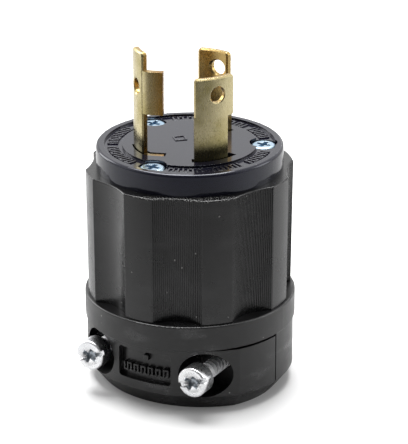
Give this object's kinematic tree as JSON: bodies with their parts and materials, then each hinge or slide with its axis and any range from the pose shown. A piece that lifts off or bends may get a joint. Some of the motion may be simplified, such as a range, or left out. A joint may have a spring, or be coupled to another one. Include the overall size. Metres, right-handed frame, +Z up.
{
  "type": "three blade locking power plug",
  "caption": "Round black locking power plug with curved brass blades, a scalloped grip shell and a screw-tightened cord clamp",
  "frame": {"origin": "centre of the circular footprint, on the surface that the plug's cord end stands on", "axes": "+Z up along the plug's axis towards the blades, -Y towards the loose clamp jaw, +X to the right seen from the jaw"},
  "size_m": [0.0508, 0.0508, 0.0845],
  "materials": {
    "face_plastic": "glossy black moulded nylon",
    "block_plastic": "black moulded insulator",
    "shell_plastic": "satin black moulded nylon with fine ribs",
    "clamp_plastic": "satin black moulded nylon, lightly scuffed",
    "blade_brass": "satin rolled brass sheet",
    "plate_brass": "plain brass",
    "brass_screw": "brass terminal screw",
    "green_screw": "green dyed steel ground screw",
    "zinc_screw": "bright zinc plated steel"
  },
  "bodies": {
    "plug_body": {"face_body": "face_plastic", "terminal_block": "block_plastic", "grip_shell": "shell_plastic", "clamp_collar": "clamp_plastic", "ground_blade": "blade_brass", "neutral_blade": "blade_brass", "hot_blade": "blade_brass", "ground_pressure_plate": "plate_brass", "neutral_pressure_plate": "plate_brass", "hot_pressure_plate": "plate_brass", "ground_terminal_screw": "green_screw", "neutral_terminal_screw": "zinc_screw", "hot_terminal_screw": "brass_screw", "assembly_screw_1": "zinc_screw", "thread_insert_1": "plate_brass", "assembly_screw_2": "zinc_screw", "thread_insert_2": "plate_brass", "assembly_screw_3": "zinc_screw", "thread_insert_3": "plate_brass"},
    "jaw": {"clamp_jaw": "clamp_plastic"},
    "left_screw": {"clamp_screw_left": "zinc_screw"},
    "right_screw": {"clamp_screw_right": "zinc_screw"}
  },
  "joints": [
    {"name": "jaw_slide", "type": "slide", "parent": "plug_body", "child": "jaw", "axis": [0, -1, 0], "range_m": [0, 0.005]},
    {"name": "left_screw_slide", "type": "slide", "parent": "jaw", "child": "left_screw", "axis": [0, 1, 0], "range_m": [0, 0.0093]},
    {"name": "right_screw_slide", "type": "slide", "parent": "jaw", "child": "right_screw", "axis": [0, 1, 0], "range_m": [0, 0.0107]}
  ]
}
